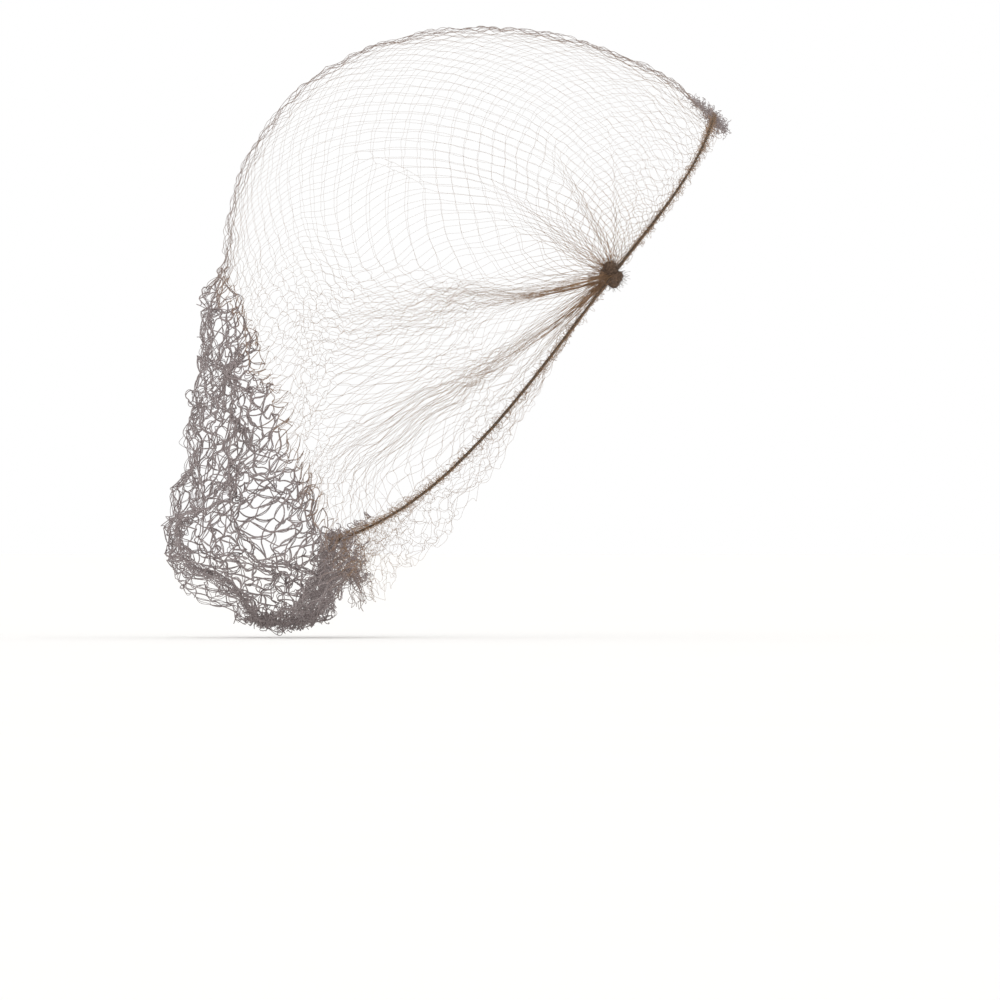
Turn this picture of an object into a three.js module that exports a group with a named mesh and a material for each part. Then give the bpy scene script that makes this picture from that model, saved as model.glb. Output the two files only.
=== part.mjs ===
// Hairnet: one fine net drawn together at a bound knot over each temple, with an elastic cord round its
// edge. Millimetres, +Z up. The wearer faces +X, with their right side at -Y. The origin is where the top
// of the head meets the net.
import * as THREE from "three";

// Driving dimensions
const NET_WALL = 1.6; // the knotted net as worn, with its loops standing up a little
const KNOT_AXIS = { ahead: 46.2, below: 84.2, half_span: 64.5 }; // the line through both knots
const COLLAR_RADIUS = 5.2; // where the net goes into each knot
const ELASTIC_DIAMETER = 1.3;
const CLEARANCE = 0.6; // between the cords and the net, which touch on the real hairnet
const CREASE_LENGTH = 24; // of the net that comes up from the pouch to the nape's elastic
const CREASE_TURN = 4; // of the frill's start, where it turns down from the crease against the neck
// How far towards the knots the pouch reaches, as a share of the way, and how round it is across.
const POUCH = { spread: 0.68, fullness: 2.6, ease: 1.7 };
// The net past its elastic. Directions are in side view, in degrees, beside a knot and at the middle.
const FRONT_FRILL = { width: 4.2, waves: 5, depth: 0.7, knot_direction: -35, middle_direction: -62 };
const NAPE_FRILL = { width: 24, waves: 6, depth: 1.5, knot_direction: -38, middle_direction: -79 };
const FRILL_FULL_AT = 0.9; // share of the way from a knot to the middle where a frill has its full width

// One row for each section of the net, from the forehead over the crown to the nape. A section is an arc
// from knot to knot. angle: its direction from the knot axis, upwards from straight ahead, in degrees.
// reach: from the knot axis to the arc's middle on the head. half_width: the net's half width halfway
// there. sag: how far the arc bows in side view. back and drop: how far the arc's middle hangs off the
// head, in the loose pouch.
const SECTIONS = [
  { angle: 58.0, reach: 65.2, half_width: 56.0, sag: -3.5, back: 0.0, drop: 0.0 },
  { angle: 75.0, reach: 71.2, half_width: 56.5, sag: -2.0, back: 0.0, drop: 0.0 },
  { angle: 90.0, reach: 77.5, half_width: 58.0, sag: 0.0, back: 0.0, drop: 0.0 },
  { angle: 105.0, reach: 87.0, half_width: 61.0, sag: 0.0, back: 0.0, drop: 0.0 },
  { angle: 120.0, reach: 98.9, half_width: 65.0, sag: 0.0, back: 0.0, drop: 0.0 },
  { angle: 135.0, reach: 114.3, half_width: 68.0, sag: 0.0, back: 0.0, drop: 0.0 },
  { angle: 150.0, reach: 127.3, half_width: 70.5, sag: 0.0, back: 0.0, drop: 0.0 },
  { angle: 165.0, reach: 134.3, half_width: 72.0, sag: 0.0, back: 0.0, drop: 0.0 },
  { angle: 178.0, reach: 135.3, half_width: 72.0, sag: 1.0, back: 0.5, drop: 1.0 },
  { angle: 188.0, reach: 134.1, half_width: 71.0, sag: 2.0, back: 7.5, drop: 11.0 },
  { angle: 197.0, reach: 132.5, half_width: 69.5, sag: 4.0, back: 19.0, drop: 18.5 },
  { angle: 205.0, reach: 131.5, half_width: 68.0, sag: 5.5, back: 30.5, drop: 26.0 },
  { angle: 211.0, reach: 131.5, half_width: 67.0, sag: 7.0, back: 38.0, drop: 31.5 },
  { angle: 215.5, reach: 132.5, half_width: 66.0, sag: 8.0, back: 29.0, drop: 37.0 },
  { angle: 219.0, reach: 133.0, half_width: 65.0, sag: 8.8, back: 14.0, drop: 36.0 },
  { angle: 221.2, reach: 132.5, half_width: 64.3, sag: 9.1, back: 3.1, drop: 27.0 },
  { angle: 222.8, reach: 131.8, half_width: 63.9, sag: 9.3, back: 5.4, drop: 14.3 },
  { angle: 223.7, reach: 131.0, half_width: 63.6, sag: 9.4, back: 6.6, drop: 4.8 },
  { angle: 224.2, reach: 130.5, half_width: 63.5, sag: 9.5, back: 3.7, drop: 0.0 },
];

// One row for each main fold that runs out from a knot. angle: the fold's direction from the knot axis.
// turn: how far it has turned where it ends. height: of the ridge beside the knot. spread: its half width
// in degrees. reach: how far it runs from the knot.
const FOLDS = [
  { angle: 70, turn: 2, height: 0.9, spread: 4, reach: 26 },
  { angle: 84, turn: 4, height: 1.4, spread: 5, reach: 36 },
  { angle: 108, turn: 10, height: 2.6, spread: 6, reach: 48 },
  { angle: 128, turn: 6, height: 1.2, spread: 6, reach: 34 },
  { angle: 150, turn: -6, height: 1.4, spread: 7, reach: 44 },
  { angle: 172, turn: 4, height: 1.2, spread: 6, reach: 38 },
  { angle: 192, turn: -4, height: 2.6, spread: 6, reach: 74 },
  { angle: 212, turn: -4, height: 2.8, spread: 5, reach: 96 },
];
const FOLD_LEVEL_TO = 0.15; // share of its reach over which a fold keeps its full height
const FOLD_FROM_EDGE = { none: 1.5, full: 7 }; // the folds die out towards the elastic

// One row for each soft fold that hangs from the back of the head into the pouch. across: its place, from
// 0 at the middle to 1 at the left knot and -1 at the right one. spread: its half width across. from and
// to: where it starts and ends along the net.
const POUCH_FOLDS = [
  { across: -0.47, height: 2.4, spread: 0.07, from: 226, to: 356 },
  { across: -0.31, height: 3.0, spread: 0.08, from: 244, to: 372 },
  { across: -0.12, height: 2.2, spread: 0.06, from: 270, to: 368 },
  { across: 0.09, height: 2.6, spread: 0.07, from: 252, to: 372 },
  { across: 0.28, height: 2.4, spread: 0.07, from: 238, to: 362 },
  { across: 0.45, height: 2.8, spread: 0.08, from: 230, to: 366 },
];

// The knot's outline from its bound neck to its tuft: radius at each place along its axis.
const KNOT_PROFILE = [
  { along: -4.4, radius: 0.0 },
  { along: -4.2, radius: 1.9 },
  { along: -3.3, radius: 3.1 },
  { along: -2.6, radius: 2.8 },
  { along: -1.9, radius: 3.4 },
  { along: -1.1, radius: 3.0 },
  { along: -0.3, radius: 3.5 },
  { along: 0.6, radius: 2.9 },
  { along: 1.6, radius: 3.4 },
  { along: 3.0, radius: 3.3 },
  { along: 4.1, radius: 2.2 },
  { along: 4.5, radius: 0.0 },
];
const KNOT_DIRECTION = -52; // of the knot's axis in side view, in degrees
const KNOT_STANDS_OUT = 2.2; // of the knot's middle beyond the net's edge

// Fineness of the faceted solids
const CROWN_ROWS = 37;
const CREASE_ROWS = 6;
const FRONT_FRILL_ROWS = 2;
const NAPE_FRILL_ROWS = 4;
const FRILL_ROW_POWER = 1.4; // sets the frill's rows closer together beside the crease
const COLUMNS_A_SIDE = 24;
const ELASTIC_STEPS = 44;
const ELASTIC_SIDES = 8;
const KNOT_SIDES = 14;

const { clamp, degToRad, lerp, smoothstep } = THREE.MathUtils;
const SAG_SHAPE = 2.116; // makes the bow of out * (1 - out^3) one high
const VALUES = ["angle", "reach", "half_width", "sag", "back", "drop"];

// A direction in the side view, upwards from straight ahead.
function sideDirection(degrees) {
  return new THREE.Vector3(Math.cos(degToRad(degrees)), 0, Math.sin(degToRad(degrees)));
}

const knotCentre = new THREE.Vector3(KNOT_AXIS.ahead, 0, -KNOT_AXIS.below);

// A point on a section's arc. across is -1 at the right knot, 0 at the middle and 1 at the left knot.
function arcPoint(section, across) {
  const start = COLLAR_RADIUS / section.reach;
  const out = start + (1 - start) * Math.cos((across * Math.PI) / 2);
  const fullness = 4 * section.half_width ** 2 - 2 * KNOT_AXIS.half_span ** 2;
  const width = Math.sqrt(KNOT_AXIS.half_span ** 2 + fullness * out);
  const loose = Math.max(0, 1 - Math.abs(across / POUCH.spread) ** POUCH.fullness) ** POUCH.ease;
  const point = knotCentre.clone();
  point.addScaledVector(sideDirection(section.angle), section.reach * out);
  point.addScaledVector(sideDirection(section.angle + 90), section.sag * SAG_SHAPE * out * (1 - out ** 3));
  point.x -= section.back * loose;
  point.y = Math.sqrt(2 * (1 - start)) * Math.sin((across * Math.PI) / 4) * width;
  point.z -= section.drop * loose;
  return point;
}

// The sections joined by a smooth curve, measured along the middle of the net from the forehead's elastic.
const stations = [0];
SECTIONS.slice(1).forEach((section, i) => {
  stations.push(stations[i] + arcPoint(section, 0).distanceTo(arcPoint(SECTIONS[i], 0)));
});
const NET_LENGTH = stations.at(-1);
const table = new Float64Array(SECTIONS.flatMap((section) => VALUES.map((name) => section[name])));
const spline = new THREE.CubicInterpolant(stations, table, VALUES.length);

function sectionAt(length) {
  const values = spline.evaluate(clamp(length, 0, NET_LENGTH));
  return Object.fromEntries(VALUES.map((name, i) => [name, values[i]]));
}

// How far a frill stands from its elastic at a place across the net, and which way it lies.
function frillOffset(frill, share, across) {
  const near = 1 - Math.abs(across);
  const width = frill.width * share * smoothstep(near, 0, FRILL_FULL_AT);
  const direction = lerp(frill.knot_direction, frill.middle_direction, smoothstep(near, 0, 1));
  return sideDirection(direction).multiplyScalar(width);
}

// The net's outer face without its folds. Lengths below 0 are the front frill, and those past NET_LENGTH
// the nape's frill.
function smoothPoint(length, across) {
  const section = sectionAt(length);
  section.back *= 1 - smoothstep(length - NET_LENGTH, 0, CREASE_TURN);
  const point = arcPoint(section, across);
  if (length < 0) point.add(frillOffset(FRONT_FRILL, -length / FRONT_FRILL.width, across));
  if (length > NET_LENGTH) {
    point.add(frillOffset(NAPE_FRILL, (length - NET_LENGTH) / NAPE_FRILL.width, across));
  }
  return point;
}

// The outward direction of the net's face.
function outward(length, across) {
  const step = { length: 0.8, across: 0.004 };
  const middle = clamp(length, step.length - FRONT_FRILL.width, NET_LENGTH + NAPE_FRILL.width - step.length);
  const along = smoothPoint(middle + step.length, across).sub(smoothPoint(middle - step.length, across));
  const left = Math.min(across + step.across, 1);
  const right = Math.max(across - step.across, -1);
  const sideways = smoothPoint(length, left).sub(smoothPoint(length, right));
  return sideways.cross(along).normalize();
}

// The waves of a frill, which grow from its elastic to its free edge.
function frillWave(frill, share, across) {
  return frill.depth * share * Math.sin(Math.abs(across) * frill.waves * 2 * Math.PI) * (1 - Math.abs(across));
}

// The folds that run out from the knots.
function knotFolds(section, across) {
  const distance = section.reach * Math.cos((across * Math.PI) / 2) + COLLAR_RADIUS;
  const fromEdge = Math.min(section.angle - SECTIONS[0].angle, SECTIONS.at(-1).angle - section.angle);
  const held = smoothstep(degToRad(fromEdge) * distance, FOLD_FROM_EDGE.none, FOLD_FROM_EDGE.full);
  const ridges = FOLDS.map((fold) => {
    const share = Math.min(distance / fold.reach, 1);
    const offset = (section.angle - fold.angle - fold.turn * share) / fold.spread;
    return fold.height * (1 - smoothstep(share, FOLD_LEVEL_TO, 1)) * Math.exp(-offset * offset);
  });
  return held * Math.max(...ridges);
}

// The folds that hang in the pouch.
function pouchFolds(length, across) {
  const ridges = POUCH_FOLDS.map((fold) => {
    const middle = (fold.from + fold.to) / 2;
    const end = (length - middle) / (fold.to - middle);
    const offset = (across - fold.across) / fold.spread;
    return fold.height * Math.max(0, 1 - end * end) * Math.exp(-offset * offset);
  });
  return Math.max(...ridges);
}

function foldHeight(length, across) {
  if (length < 0) return frillWave(FRONT_FRILL, -length / FRONT_FRILL.width, across);
  if (length > NET_LENGTH) return frillWave(NAPE_FRILL, (length - NET_LENGTH) / NAPE_FRILL.width, across);
  return knotFolds(sectionAt(length), across) + pouchFolds(length, across);
}

// A place in the net, at a depth under its outer face.
function netPoint(length, across, depth) {
  const normal = outward(length, across);
  return smoothPoint(length, across).addScaledVector(normal, foldHeight(length, across) - depth);
}

// Rows of the net from the front frill's edge to the nape frill's edge.
function netRows() {
  const rows = [];
  for (let i = FRONT_FRILL_ROWS; i > 0; i--) rows.push((-FRONT_FRILL.width * i) / FRONT_FRILL_ROWS);
  for (let i = 0; i < CROWN_ROWS; i++) rows.push(((NET_LENGTH - CREASE_LENGTH) * i) / CROWN_ROWS);
  for (let i = 0; i <= CREASE_ROWS; i++) rows.push(NET_LENGTH - CREASE_LENGTH * (1 - i / CREASE_ROWS));
  for (let i = 1; i <= NAPE_FRILL_ROWS; i++) {
    rows.push(NET_LENGTH + NAPE_FRILL.width * (i / NAPE_FRILL_ROWS) ** FRILL_ROW_POWER);
  }
  return rows;
}

// A wall of even thickness over a grid of rows and columns, closed round its rim.
function netGeometry() {
  const rows = netRows();
  const across = [];
  for (let i = -COLUMNS_A_SIDE; i <= COLUMNS_A_SIDE; i++) across.push(i / COLUMNS_A_SIDE);
  const points = [];
  const layer = rows.length * across.length;
  [0, NET_WALL].forEach((depth) => {
    rows.forEach((length) => across.forEach((place) => points.push(netPoint(length, place, depth))));
  });
  const at = (face, row, column) => face * layer + row * across.length + column;
  const triangles = [];
  const quad = (a, b, c, d) => triangles.push(a, b, c, a, c, d);
  for (let r = 0; r + 1 < rows.length; r++) {
    for (let c = 0; c + 1 < across.length; c++) {
      quad(at(0, r, c), at(0, r, c + 1), at(0, r + 1, c + 1), at(0, r + 1, c));
      quad(at(1, r, c), at(1, r + 1, c), at(1, r + 1, c + 1), at(1, r, c + 1));
    }
    const end = across.length - 1;
    quad(at(0, r, 0), at(0, r + 1, 0), at(1, r + 1, 0), at(1, r, 0));
    quad(at(0, r, end), at(1, r, end), at(1, r + 1, end), at(0, r + 1, end));
  }
  for (let c = 0; c + 1 < across.length; c++) {
    const end = rows.length - 1;
    quad(at(0, 0, c), at(1, 0, c), at(1, 0, c + 1), at(0, 0, c + 1));
    quad(at(0, end, c), at(0, end, c + 1), at(1, end, c + 1), at(1, end, c));
  }
  return new THREE.BufferGeometry().setFromPoints(points).setIndex(triangles);
}

// An elastic cord that lies on the outside of the net along one of its edges, from knot to knot. Where the
// net folds there, the cord lies in the crease, clear of both of its sides.
function elasticGeometry(length) {
  const clear = CLEARANCE + ELASTIC_DIAMETER / 2;
  const points = [];
  for (let i = 0; i <= ELASTIC_STEPS; i++) {
    const across = (2 * i) / ELASTIC_STEPS - 1;
    const between = outward(length - CREASE_TURN, across).add(outward(length + CREASE_TURN, across));
    between.divideScalar(2);
    points.push(smoothPoint(length, across).addScaledVector(between, clear / between.lengthSq()));
  }
  const section = new THREE.Shape();
  section.absarc(0, 0, ELASTIC_DIAMETER / 2, 0, 2 * Math.PI);
  return new THREE.ExtrudeGeometry(section, {
    steps: ELASTIC_STEPS,
    curveSegments: ELASTIC_SIDES / 2,
    extrudePath: new THREE.CatmullRomCurve3(points),
  });
}

function knotGeometry() {
  const outline = KNOT_PROFILE.map(({ along, radius }) => new THREE.Vector2(radius, along));
  return new THREE.LatheGeometry(outline, KNOT_SIDES);
}

const THREAD = { color: 0x6f615d, roughness: 0.75, metalness: 0 };
const ELASTIC = { color: 0x4a3c33, roughness: 0.6, metalness: 0 };
const BINDING = { color: 0x3d2e26, roughness: 0.85, metalness: 0 };

function piece(name, geometry, finish) {
  const mesh = new THREE.Mesh(geometry, new THREE.MeshStandardMaterial(finish));
  mesh.name = name;
  return mesh;
}

const hairnet = new THREE.Group();
hairnet.add(piece("net", netGeometry(), THREAD));
hairnet.add(piece("front_elastic", elasticGeometry(0), ELASTIC));
hairnet.add(piece("nape_elastic", elasticGeometry(NET_LENGTH), ELASTIC));

const KNOTS = [
  { name: "knot_right", side: -1 },
  { name: "knot_left", side: 1 },
];
KNOTS.forEach(({ name, side }) => {
  const knot = piece(name, knotGeometry(), BINDING);
  knot.position.copy(knotCentre);
  knot.position.y = side * (KNOT_AXIS.half_span + KNOT_STANDS_OUT);
  knot.quaternion.setFromUnitVectors(new THREE.Vector3(0, 1, 0), sideDirection(KNOT_DIRECTION));
  hairnet.add(knot);
});

export default hairnet;
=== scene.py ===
# %% [markdown]
# # A hairnet, thread by thread
# A hairnet is a flat rectangle of very fine knotted net. Both of its short ends are drawn together and bound
# into a knot over each temple, and an elastic cord runs along each long edge. Worn, the front of the net is
# stretched tight over the crown, and the spare net hangs behind in a slack pouch for the hair.
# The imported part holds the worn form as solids. This lesson replaces each solid with the thread that it
# stands for, in the same place.

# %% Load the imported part
import math

import bpy
import numpy as np
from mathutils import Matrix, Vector, noise


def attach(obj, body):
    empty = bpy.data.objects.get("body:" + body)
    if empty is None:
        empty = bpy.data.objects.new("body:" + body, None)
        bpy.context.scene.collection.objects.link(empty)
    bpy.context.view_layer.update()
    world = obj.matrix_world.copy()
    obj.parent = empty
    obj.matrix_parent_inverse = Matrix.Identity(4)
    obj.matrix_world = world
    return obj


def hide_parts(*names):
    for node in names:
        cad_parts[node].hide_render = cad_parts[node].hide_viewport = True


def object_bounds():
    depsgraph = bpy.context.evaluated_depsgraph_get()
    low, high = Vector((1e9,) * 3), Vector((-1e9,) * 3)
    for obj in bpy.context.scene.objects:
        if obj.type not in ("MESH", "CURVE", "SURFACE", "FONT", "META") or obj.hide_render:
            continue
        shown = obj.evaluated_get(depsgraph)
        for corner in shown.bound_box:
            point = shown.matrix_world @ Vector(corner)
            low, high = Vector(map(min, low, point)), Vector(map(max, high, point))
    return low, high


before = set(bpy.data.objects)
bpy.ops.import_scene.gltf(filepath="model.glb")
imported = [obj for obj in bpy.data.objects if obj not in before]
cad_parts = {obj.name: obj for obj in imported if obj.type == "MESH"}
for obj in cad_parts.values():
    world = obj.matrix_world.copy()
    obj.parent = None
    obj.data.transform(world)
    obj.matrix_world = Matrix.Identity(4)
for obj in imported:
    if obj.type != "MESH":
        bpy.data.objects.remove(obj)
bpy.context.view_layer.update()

MM = 0.001

# %% [markdown]
# ## The camera
# The wearer would face +X and the photograph looks at their right side, so the camera looks along +Y. A long
# lens far away keeps the near and the far temple at almost the same scale, as in the photograph. The picture
# is 350 mm wide at the middle of the head.

# %% The camera at the photograph's angle
PICTURE_WIDTH = 350 * MM
PICTURE_MIDDLE = Vector((7 * MM, 0, -162.9 * MM))
LENS = 600
SENSOR = 36

camera = bpy.data.objects.new("camera", bpy.data.cameras.new("camera"))
camera.data.lens = LENS
camera.data.sensor_width = SENSOR
camera_distance = PICTURE_WIDTH * LENS / SENSOR
camera.location = PICTURE_MIDDLE + Vector((0, -camera_distance, 0))
camera.rotation_euler = (math.radians(90), 0, 0)
bpy.context.scene.collection.objects.link(camera)
bpy.context.scene.camera = camera
print(f"camera {camera_distance:.2f} m away")

# %% [markdown]
# ## The form of the worn net
# Every thread lies on one smooth surface, so the surface comes first, as a rule that gives a point for any
# place in the net. A place has two numbers: the length along the middle of the net from the forehead, in
# millimetres, and the place across, from -1 at the right knot to 1 at the left one. The surface is a fan of
# arcs from knot to knot, and it uses the same sections as the solids, so the threads land on them.

# %% The sections of the net
KNOT_AHEAD, KNOT_BELOW, KNOT_SPAN = 46.2, 84.2, 64.5
COLLAR_RADIUS = 5.2
POUCH_SPREAD, POUCH_FULLNESS, POUCH_EASE = 0.68, 2.6, 1.7
SAG_SHAPE = 2.116
# angle from the knots, reach, half width, sag, and how far the pouch hangs back and down
SECTIONS = np.array([
    (58.0, 65.2, 56.0, -3.5, 0.0, 0.0),
    (75.0, 71.2, 56.5, -2.0, 0.0, 0.0),
    (90.0, 77.5, 58.0, 0.0, 0.0, 0.0),
    (105.0, 87.0, 61.0, 0.0, 0.0, 0.0),
    (120.0, 98.9, 65.0, 0.0, 0.0, 0.0),
    (135.0, 114.3, 68.0, 0.0, 0.0, 0.0),
    (150.0, 127.3, 70.5, 0.0, 0.0, 0.0),
    (165.0, 134.3, 72.0, 0.0, 0.0, 0.0),
    (178.0, 135.3, 72.0, 1.0, 0.5, 1.0),
    (188.0, 134.1, 71.0, 2.0, 7.5, 11.0),
    (197.0, 132.5, 69.5, 4.0, 19.0, 18.5),
    (205.0, 131.5, 68.0, 5.5, 30.5, 26.0),
    (211.0, 131.5, 67.0, 7.0, 38.0, 31.5),
    (215.5, 132.5, 66.0, 8.0, 29.0, 37.0),
    (219.0, 133.0, 65.0, 8.8, 14.0, 36.0),
    (221.2, 132.5, 64.3, 9.1, 3.1, 27.0),
    (222.8, 131.8, 63.9, 9.3, 5.4, 14.3),
    (223.7, 131.0, 63.6, 9.4, 6.6, 4.8),
    (224.2, 130.5, 63.5, 9.5, 3.7, 0.0),
])


def smoothstep(x, low, high):
    share = np.clip((x - low) / (high - low), 0, 1)
    return share * share * (3 - 2 * share)


def side_direction(degrees):
    turn = np.radians(degrees)
    return np.stack([np.cos(turn), np.zeros_like(turn), np.sin(turn)], -1)


def looseness(across):
    return np.maximum(0, 1 - np.abs(across / POUCH_SPREAD) ** POUCH_FULLNESS) ** POUCH_EASE


def arc_point(section, across):
    angle, reach, half_width, sag, back, drop = section.T
    start = COLLAR_RADIUS / reach
    out = start + (1 - start) * np.cos(across * np.pi / 2)
    width = np.sqrt(KNOT_SPAN**2 + (4 * half_width**2 - 2 * KNOT_SPAN**2) * out)
    bow = sag * SAG_SHAPE * out * (1 - out**3)
    point = (reach * out)[:, None] * side_direction(angle) + bow[:, None] * side_direction(angle + 90)
    point[:, 0] += KNOT_AHEAD - back * looseness(across)
    point[:, 1] = np.sqrt(2 * (1 - start)) * np.sin(across * np.pi / 4) * width
    point[:, 2] -= KNOT_BELOW + drop * looseness(across)
    return point


middle_points = arc_point(SECTIONS, np.zeros(len(SECTIONS)))
stations = np.append(0, np.cumsum(np.linalg.norm(np.diff(middle_points, axis=0), axis=1)))
NET_LENGTH = stations[-1]
print(f"the net is {NET_LENGTH:.0f} mm from elastic to elastic along its middle")

# %% [markdown]
# Between the sections a cubic curve runs through the numbers of each column. The net goes on past both of its
# elastics as a narrow frill, and folds stand up where the net is crowded: beside the knots, and in the pouch.

# %% The surface between and past the sections
CREASE_TURN = 4
FRONT_FRILL = {"width": 4.2, "waves": 5, "depth": 0.7, "knot_direction": -35, "middle_direction": -62}
NAPE_FRILL = {"width": 24, "waves": 6, "depth": 1.5, "knot_direction": -38, "middle_direction": -79}
FRILL_FULL_AT = 0.9


def section_at(length):
    t = np.clip(length, 0, NET_LENGTH)
    after = np.clip(np.searchsorted(stations, t, side="right"), 1, len(stations) - 1)
    before = after - 1
    first, last = before == 0, after == len(stations) - 1
    t0, t1 = stations[before], stations[after]
    t_previous = np.where(first, 2 * t0 - t1, stations[before - 1])
    t_next = np.where(last, 2 * t1 - t0, stations[(after + 1) % len(stations)])
    pull_previous = (t1 - t0) / 2 / (t0 - t_previous)
    pull_next = (t1 - t0) / 2 / (t_next - t1)
    p = (t - t0) / (t1 - t0)
    weights = (
        (np.where(first, after, before - 1), pull_previous * (-(p**3) + 2 * p**2 - p)),
        (
            before,
            (1 + pull_previous) * p**3 - (1.5 + 2 * pull_previous) * p**2 + (pull_previous - 0.5) * p + 1,
        ),
        (after, -(1 + pull_next) * p**3 + (1.5 + pull_next) * p**2 + 0.5 * p),
        (np.where(last, before, (after + 1) % len(stations)), pull_next * (p**3 - p**2)),
    )
    return sum(weight[:, None] * SECTIONS[row] for row, weight in weights)


def frill_offset(frill, share, across):
    near = 1 - np.abs(across)
    width = frill["width"] * share * smoothstep(near, 0, FRILL_FULL_AT)
    turn = smoothstep(near, 0, 1)
    direction = frill["knot_direction"] * (1 - turn) + frill["middle_direction"] * turn
    return width[:, None] * side_direction(direction)


def smooth_point(length, across):
    section = section_at(length)
    section[:, 4] *= 1 - smoothstep(length - NET_LENGTH, 0, CREASE_TURN)
    point = arc_point(section, across)
    point += frill_offset(FRONT_FRILL, np.maximum(-length, 0) / FRONT_FRILL["width"], across)
    point += frill_offset(NAPE_FRILL, np.maximum(length - NET_LENGTH, 0) / NAPE_FRILL["width"], across)
    return point


def outward(length, across):
    middle = np.clip(length, 0.8 - FRONT_FRILL["width"], NET_LENGTH + NAPE_FRILL["width"] - 0.8)
    along = smooth_point(middle + 0.8, across) - smooth_point(middle - 0.8, across)
    left, right = np.minimum(across + 0.004, 1), np.maximum(across - 0.004, -1)
    normal = np.cross(smooth_point(length, left) - smooth_point(length, right), along)
    size = np.linalg.norm(normal, axis=1)[:, None]
    return normal / np.where(size > 0, size, 1)


# %% [markdown]
# A fold is a smooth ridge that stands up from the surface. Some run out from the knots, and get lower with the
# distance. Others hang in the pouch from top to bottom. Where two ridges meet, the higher one counts.

# %% The folds
# angle, turn, height, spread in degrees and reach of each fold that runs out from a knot
KNOT_FOLDS = (
    (70, 2, 0.9, 4, 26),
    (84, 4, 1.4, 5, 36),
    (108, 10, 2.6, 6, 48),
    (128, 6, 1.2, 6, 34),
    (150, -6, 1.4, 7, 44),
    (172, 4, 1.2, 6, 38),
    (192, -4, 2.6, 6, 74),
    (212, -4, 2.8, 5, 96),
)
# place across, height, spread, and the lengths where each fold of the pouch starts and ends
POUCH_FOLDS = (
    (-0.47, 2.4, 0.07, 226, 356),
    (-0.31, 3.0, 0.08, 244, 372),
    (-0.12, 2.2, 0.06, 270, 368),
    (0.09, 2.6, 0.07, 252, 372),
    (0.28, 2.4, 0.07, 238, 362),
    (0.45, 2.8, 0.08, 230, 366),
)
FOLD_LEVEL_TO = 0.15
FOLD_STARTS, FOLD_FULL = 1.5, 7


def knot_distance(section, across):
    return section[:, 1] * np.cos(across * np.pi / 2) + COLLAR_RADIUS


def knot_fold_height(length, across):
    section = section_at(length)
    angle, distance = section[:, 0], knot_distance(section, across)
    from_edge = np.minimum(angle - SECTIONS[0, 0], SECTIONS[-1, 0] - angle)
    ridge = np.zeros(len(length))
    for fold_angle, turn, height, spread, reach in KNOT_FOLDS:
        share = np.minimum(distance / reach, 1)
        offset = (angle - fold_angle - turn * share) / spread
        ridge = np.maximum(ridge, height * (1 - smoothstep(share, FOLD_LEVEL_TO, 1)) * np.exp(-(offset**2)))
    return ridge * smoothstep(np.radians(from_edge) * distance, FOLD_STARTS, FOLD_FULL)


def pouch_fold_height(length, across):
    ridge = np.zeros(len(length))
    for place, height, spread, start, stop in POUCH_FOLDS:
        end = (2 * length - start - stop) / (stop - start)
        offset = (across - place) / spread
        ridge = np.maximum(ridge, height * np.maximum(0, 1 - end**2) * np.exp(-(offset**2)))
    return ridge


def frill_wave(frill, share, across):
    side = np.abs(across)
    return frill["depth"] * share * np.sin(side * frill["waves"] * 2 * np.pi) * (1 - side)


def net_point(length, across, lift=0.0):
    inside = (length >= 0) & (length <= NET_LENGTH)
    height = np.where(inside, knot_fold_height(length, across) + pouch_fold_height(length, across), 0)
    height += frill_wave(FRONT_FRILL, np.maximum(-length, 0) / FRONT_FRILL["width"], across)
    height += frill_wave(NAPE_FRILL, np.maximum(length - NET_LENGTH, 0) / NAPE_FRILL["width"], across)
    return smooth_point(length, across) + (height + lift)[:, None] * outward(length, across)


# %% [markdown]
# ## The ties of the net
# A knotted net is a lattice of diamonds: every tie has four strands, to its neighbours half a mesh before and
# behind it. The ties are laid out first, in the two numbers of the surface. The lattice is a plain rectangle
# when it lies flat, so the meshes open where the net is stretched, over the crown, and close up where it is
# gathered, towards the knots. The ties are set closer in the pouch, where the net is slack.

# %% Lay the lattice of ties on the form
rng = np.random.default_rng(7)
HALF_ROWS = 48
# length along the net, and the distance of the ties there
TIE_SPACING = np.array([
    (-FRONT_FRILL["width"], 1.5),
    (0, 2.4),
    (24, 4.0),
    (60, 4.6),
    (170, 4.4),
    (235, 3.3),
    (370, 2.9),
    (NET_LENGTH, 2.4),
    (NET_LENGTH + NAPE_FRILL["width"], 2.9),
])
fine = np.linspace(TIE_SPACING[0, 0], TIE_SPACING[-1, 0], 2000)
count = np.cumsum(np.gradient(fine) / np.interp(fine, *TIE_SPACING.T))
half_columns = 2 * round((count[-1] - count[0]) / 2)
column_lengths = np.interp(np.linspace(count[0], count[-1], half_columns + 1), count, fine)

column, row = np.meshgrid(np.arange(half_columns + 1), np.arange(-HALF_ROWS, HALF_ROWS + 1), indexing="ij")
is_tie = (column + row) % 2 == 0
tie_at = np.full(column.shape, -1)
tie_at[is_tie] = np.arange(is_tie.sum())
column, row = column[is_tie], row[is_tie]
length = column_lengths[column]
share = np.abs(row) / HALF_ROWS
MIDDLE_PACE, PACE_DROP = 1.2, 0.4
middle_pace = MIDDLE_PACE - PACE_DROP * smoothstep(length, 120, 260)
across = np.sign(row) * (middle_pace * share + (1 - middle_pace) * share**3)
print(f"{len(column)} ties in a net of {half_columns // 2} by {HALF_ROWS} meshes")

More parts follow.
